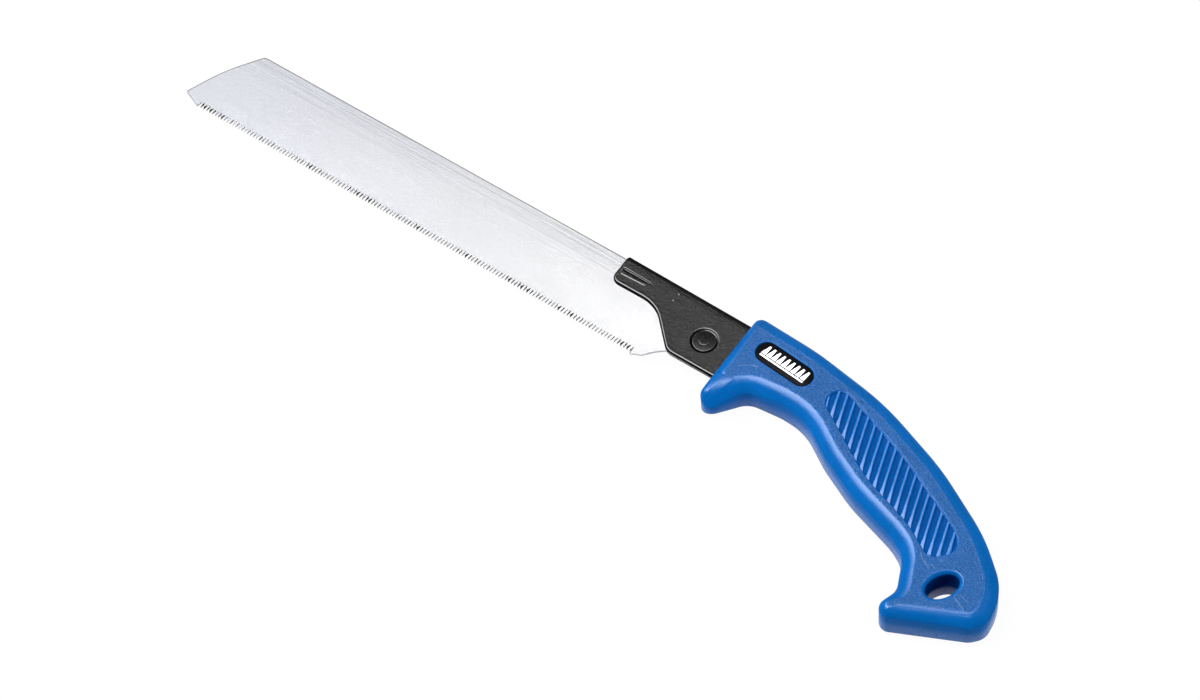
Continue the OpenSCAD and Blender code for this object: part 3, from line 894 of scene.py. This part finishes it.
def groove_patch(skin, ring, points, on_leaf, rows, face):
    """Grid over the pinch groove. Gives the loop of the leaf's flat rest."""
    start_x = min(p.x for p in points)
    on_front = [i for i in on_leaf if points[i].x < start_x + TINY]
    runs = rows if face > 0 else [FOLD_RUN - r for r in rows]
    column = [min(on_front, key=lambda i: abs(points[i].y - run)) for run in runs]
    stop_x = HOLDER_FRONT + GROOVE_LEN + 1.0
    grid = [[ring[i] for i in column]]
    for k in range(1, GROOVE_COLUMNS + 1):
        x = start_x + (stop_x - start_x) * k / GROOVE_COLUMNS
        spots = []
        for i in column:
            y = skin.points[ring[i]].y
            spots.append(Vector((x, y, face * (LEAF_OUT - groove_depth(x, y)))))
        grid.append(skin.ring(spots))
    skin.net(grid)
    around = [g[0] for g in grid] + grid[-1][1:-1] + [g[-1] for g in reversed(grid)]
    if face > 0:
        around.reverse()
    inside = set(column)
    loop = []
    placed = False
    for i in on_leaf:
        if i not in inside:
            loop.append(ring[i])
        elif not placed:
            loop.extend(around)
            placed = True
    return loop


# Pin with two heads

def pin_skin():
    """Turned pin: shank, two heads with soft edges, and the riveted end raised on each head."""
    skin = Skin()
    seat = LEAF_OUT - SEAT_DEPTH
    top = seat + HEAD_THICK
    edge = 0.3
    bead = 0.27
    half = [(SHANK_R, seat), (HEAD_R, seat)]
    half += [(HEAD_R - edge * (1 - c), top - edge * (1 - s)) for s, c in quarter(5)]
    half += [(SHANK_R + 0.45, top - 0.02), (SHANK_R + 0.2, top)]
    half += [(SHANK_R + 0.1 - bead * (1 - c), top + bead * s) for s, c in quarter(5)]
    half += [(1.2, top + bead + 0.02)]
    shape = [(r, -z) for r, z in reversed(half)] + half
    rings = [skin.level(circle(r, 72), z) for r, z in shape]
    skin.tube(rings)
    skin.face(rings[0])
    skin.face(rings[-1])
    return skin


# Finishes

class Nodes:
    """A node tree, with short ways to add nodes and to join them."""

    def __init__(self, tree):
        self.nodes = tree.nodes
        self.links = tree.links

    def put(self, node, key, value):
        """Links a socket, or sets a plain value."""
        if isinstance(value, bpy.types.NodeSocket):
            self.links.new(value, node.inputs[key])
        else:
            node.inputs[key].default_value = value

    def add(self, kind, sockets=None, **settings):
        node = self.nodes.new(kind)
        for key, value in settings.items():
            setattr(node, key, value)
        for key, value in (sockets or {}).items():
            self.put(node, key, value)
        return node

    def maths(self, operation, a, b=0.0, c=0.0):
        return self.add("ShaderNodeMath", {0: a, 1: b, 2: c}, operation=operation).outputs[0]

    def times(self, a, b):
        return self.maths("MULTIPLY", a, b)

    def vector(self, operation, a, b, output=0):
        return self.add("ShaderNodeVectorMath", {0: a, 1: b}, operation=operation).outputs[output]

    def parts(self, vector):
        """The three numbers of a vector."""
        return self.add("ShaderNodeSeparateXYZ", {0: vector}).outputs

    def spread(self, value, low, high, to_low=0.0, to_high=1.0):
        """Soft ramp from one pair of values to another."""
        sockets = {0: value, 1: low, 2: high, 3: to_low, 4: to_high}
        return self.add("ShaderNodeMapRange", sockets, interpolation_type="SMOOTHSTEP").outputs[0]


class Finish(Nodes):
    """A material, with textures that read places in millimetres."""

    SOCKETS = {"colour": "Base Color", "rough": "Roughness", "metal": "Metallic",
               "gloss": "Specular IOR Level", "normal": "Normal"}

    def __init__(self, name):
        self.material = bpy.data.materials.new(name)
        self.material.use_nodes = True
        super().__init__(self.material.node_tree)
        self.shader = self.nodes["Principled BSDF"]
        self.place = self.add("ShaderNodeTexCoord").outputs["Object"]

    def set(self, **sockets):
        """Sets the shader's sockets and gives the material."""
        for key, value in sockets.items():
            self.put(self.shader, self.SOCKETS[key], value)
        return self.material

    def noise(self, size, detail=2.0, rough=0.5, squeeze=(1, 1, 1)):
        """Noise with features of a size in millimetres, squeezed along the axes."""
        scale = [s / MM for s in squeeze]
        where = self.add("ShaderNodeMapping", {"Vector": self.place, "Scale": scale}).outputs[0]
        sockets = {"Vector": where, "Scale": 1 / size, "Detail": detail, "Roughness": rough}
        return self.add("ShaderNodeTexNoise", sockets).outputs[0]

    def sum(self, a, a_share, b, b_share):
        """Two values added in shares."""
        return self.maths("ADD", self.times(a, a_share), self.times(b, b_share))

    def mix(self, share, a, b):
        """Colour between two colours."""
        return self.add("ShaderNodeMix", {0: share, 6: a, 7: b}, data_type="RGBA").outputs[2]

    def scuffs(self, lines):
        """Thin marks between pairs of points in millimetres from the pin, a little wavy."""
        wave = self.maths("MULTIPLY_ADD", self.noise(1.5), 0.7 * MM, -0.35 * MM)
        total = 0.0
        for x0, y0, x1, y1, width in lines:
            middle = PIN + Vector(((x0 + x1) / 2, (y0 + y1) / 2, 0)) * MM
            run = Vector((x1 - x0, y1 - y0, 0))
            half = run.length / 2 * MM
            run.normalize()
            spot = self.vector("SUBTRACT", self.place, middle)
            along = self.vector("DOT_PRODUCT", spot, run, "Value")
            across = self.vector("DOT_PRODUCT", spot, (-run.y, run.x, 0), "Value")
            across = self.maths("ABSOLUTE", self.maths("ADD", across, wave))
            inside = self.spread(across, width * MM, 0.3 * width * MM)
            mark = self.times(inside, self.spread(self.maths("ABSOLUTE", along), half, 0.6 * half))
            total = self.maths("MAXIMUM", total, mark)
        return total

    def upward(self):
        """How far the surface faces out of the saw's left side, from -1 to 1."""
        return self.parts(self.add("ShaderNodeTexCoord").outputs["Normal"])[2]

    def facing(self):
        """How squarely the surface faces either side of the saw, from 0 to 1."""
        return self.maths("ABSOLUTE", self.upward())

    def bump(self, height, depth, strength):
        """Normal of a rough surface with a depth in millimetres."""
        sockets = {"Height": height, "Distance": depth * MM, "Strength": strength}
        return self.add("ShaderNodeBump", sockets).outputs[0]


BLUE_DEEP = (0.0, 0.150, 0.54, 1)
BLUE_FULL = (0.0, 0.165, 0.59, 1)
BLUE_GRAIN = (0.04, 0.25, 0.68, 1)
BLUE_WORN = (0.10, 0.28, 0.64, 1)
# Painted sheen for the leather's crests
BLUE_CREST_SHEEN = (0.14, 0.31, 0.76, 1)
BLUE_SCUFF = (0.30, 0.48, 0.84, 1)
# Painted shade for the ribs' grooves
BLUE_VALLEY_SHADE = (0.0, 0.06, 0.30, 1)
# Painted shade for the hang hole's bore
BLUE_BORE_SHADE = (0.0, 0.022, 0.16, 1)
PAINT_FLECK = (0.16, 0.16, 0.17, 1)
PAINT_BARE = (0.5, 0.5, 0.5, 1)
# Painted reflection along the blade: dimmer at the nose, brighter at the heel
STEEL_NOSE_DIM_REFLECTION = (0.70, 0.715, 0.76, 1)
STEEL_HEEL_BRIGHT_REFLECTION = (0.772, 0.772, 0.782, 1)
# Streaks, and the painted shade toward the spine
STEEL_STREAK_AND_SHADE = (0.22, 0.23, 0.27, 1)
STEEL_SMUDGE = (0.40, 0.40, 0.46, 1)
PLATE_BLACK = (0.006, 0.006, 0.008, 1)
PLATE_SCUFF = (0.05, 0.05, 0.06, 1)

# Scuffs on the handle's left face and bare specks on the holder: both ends and the width
SCUFFS = [
    (166.7, -52.9, 174.0, -56.0, 0.5),
    (167.4, -50.6, 174.5, -51.9, 0.3),
    (142.7, -42.2, 146.0, -45.0, 0.35),
    (144.8, -44.4, 150.8, -47.1, 0.4),
    (149.7, -44.7, 152.9, -45.7, 0.35),
    (151.3, -40.6, 153.6, -41.3, 0.35),
    (23.3, -7.1, 27.5, -3.8, 0.45),
    (27.5, -3.8, 31.9, -2.2, 0.45),
]
SPECKS = [
    (-23.8, 13.9, -23.2, 14.1, 0.45),
    (-24.3, 9.9, -23.7, 10.1, 0.4),
]


def blue_plastic(name, ribbed):
    """Moulded plastic of the shells. The ribbed kind is smooth, with painted shade in its grooves; the
    plain kind has painted shade in the hang hole's bore and a painted sheen on the leather's crests.
    """
    f = Finish(name)
    leather = f.noise(0.85, 3, 0.6)
    grain = f.noise(0.4, 2, 0.6)
    colour = f.mix(f.spread(f.noise(24, 3), 0.35, 0.65), BLUE_DEEP, BLUE_FULL)
    colour = f.mix(f.spread(grain, 0.5, 0.75, 0.0, 0.12), colour, BLUE_GRAIN)
    scratch = f.spread(f.noise(1.6, 4, 0.55, (0.12, 1, 1)), 0.70, 0.80)
    worn = f.times(scratch, f.spread(f.noise(14, 2), 0.52, 0.66))
    colour = f.mix(f.times(worn, 0.3), colour, BLUE_WORN)
    height = f.sum(leather, 0.7, grain, 0.3)
    facing = f.facing()
    rough = f.maths("ADD", f.spread(grain, 0.3, 0.7, 0.24, 0.31), f.times(worn, 0.15))
    rough = f.maths("ADD", rough, f.spread(facing, 0.97, 0.999, 0.0, 0.10))
    gloss = f.spread(facing, 0.84, 0.95, 0.02, 0.36)
    rise = f.maths("SUBTRACT", f.parts(f.place)[2], PIN.z)
    if ribbed:
        floor = HALF - PANEL_DEPTH
        level = f.maths("ABSOLUTE", rise)
        # Painted shade: the grooves darken toward the panel's floor
        valley_shade = f.spread(level, (floor + 0.7) * MM, floor * MM, 0.0, 0.5)
        colour = f.mix(valley_shade, colour, BLUE_VALLEY_SHADE)
        crest = f.spread(level, (floor + 0.15) * MM, (floor + 0.5) * MM, 0.05, 1.0)
        gloss = f.times(gloss, crest)
        normal = f.bump(height, 0.1, 0.3)
    else:
        # The hang hole's bore is dull, with painted shade that deepens toward the left face, and low
        # walls mirror the table
        hole = PIN.to_2d().to_3d() + Vector(HOLE_AT).to_3d() * MM
        away = f.vector("DISTANCE", f.vector("MULTIPLY", f.place, (1, 1, 0)), hole, "Value")
        bore = f.times(f.spread(away, 10.5 * MM, 8.8 * MM), f.spread(facing, 0.6, 0.2))
        low = f.spread(rise, 3.0 * MM, -3.0 * MM, 0.0, 0.14)
        low = f.times(low, f.spread(facing, 0.4, 0.1))
        dull = f.times(bore, f.spread(rise, -7.0 * MM, 0.0))
        gloss = f.times(f.maths("ADD", gloss, low), f.maths("SUBTRACT", 1.0, dull))
        # Painted shade in the bore, deepest toward the left face
        shade = f.times(bore, f.spread(rise, -HALF * MM, 0.6 * HALF * MM, 0.0, 0.85))
        colour = f.mix(shade, colour, BLUE_BORE_SHADE)
        marks = f.times(f.scuffs(SCUFFS), f.spread(rise, 8 * MM, 10 * MM))
        colour = f.mix(f.times(marks, 0.6), colour, BLUE_SCUFF)
        height = f.maths("ADD", height, f.times(marks, 0.15))
        flat = f.spread(facing, 0.95, 0.998, 0.1, 1.0)
        # Painted sheen: the leather's crests on the flat faces are coloured lighter
        crest_sheen = f.times(f.spread(leather, 0.45, 0.65, 0.0, 0.5), flat)
        colour = f.mix(crest_sheen, colour, BLUE_CREST_SHEEN)
        normal = f.bump(height, 1.7, flat)
    return f.set(colour=colour, rough=rough, gloss=gloss, normal=normal)


def black_paint(name, level, rough, grain_depth, sheen):
    """Grained black paint with pale flecks. Sheen is the share of its gloss that the flat faces keep."""
    f = Finish(name)
    facing = f.facing()
    grain = f.sum(f.noise(1.1, 2, 0.6), 0.6, f.noise(0.35, 2), 0.4)
    dark = (level * 0.8, level * 0.8, level * 0.85, 1)
    light = (level * 1.5, level * 1.5, level * 1.6, 1)
    colour = f.mix(f.spread(f.noise(9, 3), 0.3, 0.7), dark, light)
    colour = f.mix(f.spread(f.noise(0.75, 1, 0.5), 0.70, 0.78, 0.0, 0.3), colour, PAINT_FLECK)
    bare = f.times(f.scuffs(SPECKS), f.spread(f.upward(), 0.5, 0.9))
    colour = f.mix(bare, colour, PAINT_BARE)
    gloss = f.spread(facing, 0.84, 0.975, 0.0, 0.85)
    gloss = f.times(gloss, f.spread(facing, 0.985, 0.9995, 1.0, sheen))
    rough = f.spread(grain, 0.25, 0.75, rough - 0.06, rough + 0.08)
    flat = f.spread(facing, 0.97, 0.999, 0.1, 1.0)
    return f.set(colour=colour, rough=rough, gloss=gloss, normal=f.bump(grain, grain_depth, flat))


def blade_steel():
    """Ground steel with long strokes, most of them by the spine, a fine mottle and broad smudges, under
    a painted reflection that brightens from the nose to the heel and dims toward the spine.
    """
    f = Finish("blade_steel")
    strokes = f.noise(0.75, 3, 0.6, (0.014, 1, 1))
    mottle = f.noise(0.8, 2, 0.6, (0.7, 1, 1))
    fine = f.noise(0.16, 3, 0.6, (0.02, 1, 1))
    smudge = f.spread(f.noise(26, 3, 0.5, (0.35, 1, 1)), 0.35, 0.68)
    x, y, _ = f.parts(f.place)
    # Painted reflection: the steel brightens from the nose toward the heel and darkens toward the spine
    along = f.spread(x, PIN.x + NOSE_X * MM, PIN.x - 20 * MM)
    up = f.spread(y, PIN.y - 12 * MM, PIN.y + SPINE * MM, 0.0, 0.05)
    spine = f.spread(y, PIN.y + (SPINE - 15) * MM, PIN.y + (SPINE - 3) * MM, 0.05, 0.25)
    streak = f.times(f.spread(strokes, 0.38, 0.66), spine)
    streak = f.maths("ADD", streak, f.spread(mottle, 0.38, 0.62, 0.0, 0.11))
    # Painted reflection from nose to heel, then streaks with the painted darkening toward the spine
    colour = f.mix(along, STEEL_NOSE_DIM_REFLECTION, STEEL_HEEL_BRIGHT_REFLECTION)
    colour = f.mix(f.maths("ADD", streak, up), colour, STEEL_STREAK_AND_SHADE)
    colour = f.mix(f.times(smudge, 0.06), colour, STEEL_SMUDGE)
    rough = f.maths("ADD", f.spread(fine, 0.25, 0.75, 0.11, 0.155), f.times(smudge, 0.02))
    normal = f.bump(f.sum(strokes, 0.6, fine, 0.4), 0.012, 0.5)
    return f.set(colour=colour, metal=1.0, rough=rough, normal=normal)


def plain_metal(name, colour, rough):
    """Brushed metal with faint stains."""
    f = Finish(name)
    brush = f.noise(0.3, 3, 0.6, (0.2, 1, 1))
    stain = f.spread(f.noise(1.5, 3), 0.4, 0.7, 0.0, 0.4)
    dull = tuple(c * 0.75 for c in colour[:3]) + (1,)
    rough = f.spread(brush, 0.3, 0.7, rough - 0.05, rough + 0.08)
    colour = f.mix(stain, colour, dull)
    return f.set(colour=colour, metal=1.0, rough=rough, normal=f.bump(brush, 0.01, 0.4))


def badge_paint():
    """Smooth black of the badges, with faint scuffs."""
    f = Finish("badge_black")
    fine = f.noise(0.6, 3)
    scuff = f.spread(f.noise(1.2, 4, 0.6, (0.2, 1, 1)), 0.66, 0.78, 0.0, 0.3)
    rough = f.spread(fine, 0.3, 0.7, 0.16, 0.24)
    colour = f.mix(scuff, PLATE_BLACK, PLATE_SCUFF)
    return f.set(colour=colour, rough=rough, gloss=0.02, normal=f.bump(fine, 0.012, 0.4))


handle_blue = blue_plastic("handle_blue", False)
ribs_blue = blue_plastic("handle_blue_ribs", True)
holder_black = black_paint("holder_black", 0.004, 0.19, 0.32, 0.2)
pin_black = black_paint("pin_black", 0.002, 0.24, 0.06, 0.12)
steel = blade_steel()
badge_black = badge_paint()
badge_silver = plain_metal("badge_silver", (0.80, 0.80, 0.82, 1), 0.3)
# Dark steels that put painted shade on the blade's edges and the teeth's ground bevels
mid_shade_steel = plain_metal("mid_shade_steel", (0.13, 0.13, 0.14, 1), 0.45)
deep_shade_steel = plain_metal("deep_shade_steel", (0.012, 0.012, 0.012, 1), 0.5)
faint_shade_steel = plain_metal("faint_shade_steel", (0.45, 0.45, 0.46, 1), 0.4)
screw_steel = plain_metal("screw_steel", (0.62, 0.62, 0.64, 1), 0.32)

# Pieces

blues = [handle_blue, ribs_blue]
steels = [steel, mid_shade_steel, deep_shade_steel, faint_shade_steel]
for side, name in ((1, "left_shell"), (-1, "right_shell")):
    skin = handle_shell()
    shell = skin.piece(name + "_skin", "handle", "handle_blue", blues, name, side, bend=bend_tips)
    if side < 0:
        drill(shell, [GRIP_SCREW, BUTT_SCREW])
for side, name in ((1, "left_badge"), (-1, "right_badge")):
    badge_piece(side, name + "_plate", name, [badge_black, badge_silver])
blade_skin().piece("blade_plate", "blade", "blade_steel", steels, "blade", crease=8)
holder_skin().piece("holder_sheet", "handle", "holder_black", [holder_black], "blade_holder", crease=50)
pin_skin().piece("pin_turned", "handle", "pin_black", [pin_black], "hook_pin")
for name in ("tang_screw_front", "tang_screw_rear", "grip_screw", "butt_screw"):
    mesh = frame["nodes"][name].data
    mesh.materials.clear()
    mesh.materials.append(screw_steel)

# Studio: white floor, soft boxes and a dim room

FLOOR_SIZE = 6.0
FLOOR_DROP = 0.0002
FLOOR_GREY = (0.8, 0.8, 0.8, 1)
FLOOR_GLOW = 1.03
FLOOR_SHARE = 0.94
ROOM_DIM = 0.06
ROOM_GLOW = 0.42
ROOM_LOW = (0.66, 0.46)
ROOM_SIDE = (0.68, 0.5)


def studio_floor():
    """Matt floor that keeps the saw's shadow, and looks white to the camera and in reflections."""
    mesh = bpy.data.meshes.new("floor")
    corners = [(-1, -1), (1, -1), (1, 1), (-1, 1)]
    spots = [(x * FLOOR_SIZE, y * FLOOR_SIZE, -FLOOR_DROP) for x, y in corners]
    mesh.from_pydata(spots, [], [(0, 1, 2, 3)])
    floor = in_scene("floor", mesh)
    material = bpy.data.materials.new("floor")
    material.use_nodes = True
    n = Nodes(material.node_tree)
    n.nodes.clear()
    rays = n.add("ShaderNodeLightPath").outputs
    seen = n.maths("MAXIMUM", rays["Is Camera Ray"], rays["Is Glossy Ray"])
    seen = n.maths("MAXIMUM", seen, rays["Is Transmission Ray"])
    share = n.times(seen, FLOOR_SHARE)
    paint = n.add("ShaderNodeBsdfDiffuse", {"Color": FLOOR_GREY}).outputs[0]
    glow = n.add("ShaderNodeEmission", {"Strength": FLOOR_GLOW}).outputs[0]
    blend = n.add("ShaderNodeMixShader", {0: share, 1: paint, 2: glow}).outputs[0]
    n.add("ShaderNodeOutputMaterial", {0: blend})
    mesh.materials.append(material)


def studio_room():
    """Dim room. Reflections also see a glow low in it, but not on the side that the fold mirrors."""
    world = bpy.data.worlds.new("studio")
    bpy.context.scene.world = world
    world.use_nodes = True
    n = Nodes(world.node_tree)
    _, y, z = n.parts(n.add("ShaderNodeTexCoord").outputs["Generated"])
    zone = n.times(n.spread(z, *ROOM_LOW), n.spread(y, *ROOM_SIDE))
    seen = n.times(zone, n.add("ShaderNodeLightPath").outputs["Is Glossy Ray"])
    back = n.nodes["Background"]
    n.put(back, "Color", (1, 1, 1, 1))
    n.put(back, "Strength", n.maths("MULTIPLY_ADD", seen, ROOM_GLOW, ROOM_DIM))


def soft_box(name, direction, distance, size, brightness, matt=True, gloss=True):
    """Square lamp that looks at the saw. Its brightness is that of its own face."""
    lamp = bpy.data.lights.new(name, "AREA")
    lamp.shape = "RECTANGLE"
    lamp.size = size
    lamp.size_y = size
    lamp.energy = brightness * math.pi * size * size
    obj = in_scene(name, lamp)
    toward = Vector(direction).normalized()
    obj.location = toward * distance
    obj.rotation_euler = toward.to_track_quat("Z", "Y").to_euler()
    obj.visible_diffuse = matt
    obj.visible_glossy = gloss


studio_floor()
studio_room()
soft_box("overhead", (-0.37, 0.37, 0.853), 1.6, 1.0, 0.95)
soft_box("sheen", (-0.349, -0.12, 0.929), 1.5, 1.3, 11.0, matt=False)
soft_box("rim", (-0.02, 0.18, 0.98), 1.5, 0.5, 9.0, matt=False)
soft_box("key", (-0.2, -0.22, 0.955), 1.5, 0.8, 6.6, gloss=False)
soft_box("left_fill", (-0.8, -0.45, 0.38), 1.6, 1.0, 3.6, gloss=False)
soft_box("right_fill", (0.8, 0.4, 0.42), 1.6, 1.0, 2.6, gloss=False)

# Camera

VIEW_FROM = Vector((614.254, -706.041, 1544.252)) * MM
VIEW_AT = Vector((13.153, -1.954, 11.0)) * MM
VIEW_ROLL = math.radians(-6.508)
SENSOR_WIDTH = 36.0
FOCAL_LENGTH = 118.11

lens = bpy.data.cameras.new("camera")
lens.sensor_fit = "HORIZONTAL"
lens.sensor_width = SENSOR_WIDTH
lens.lens = FOCAL_LENGTH
lens.clip_end = 20.0
camera = in_scene("camera", lens)
ahead = (VIEW_AT - VIEW_FROM).normalized()
level = ahead.cross(Vector((0, 0, 1))).normalized()
upright = level.cross(ahead)
right = level * math.cos(VIEW_ROLL) + upright * math.sin(VIEW_ROLL)
up = right.cross(ahead)
turned = Matrix((right, up, -ahead)).transposed().to_4x4()
camera.matrix_world = Matrix.Translation(VIEW_FROM) @ turned
bpy.context.scene.camera = camera
bpy.context.scene.view_settings.view_transform = "Standard"
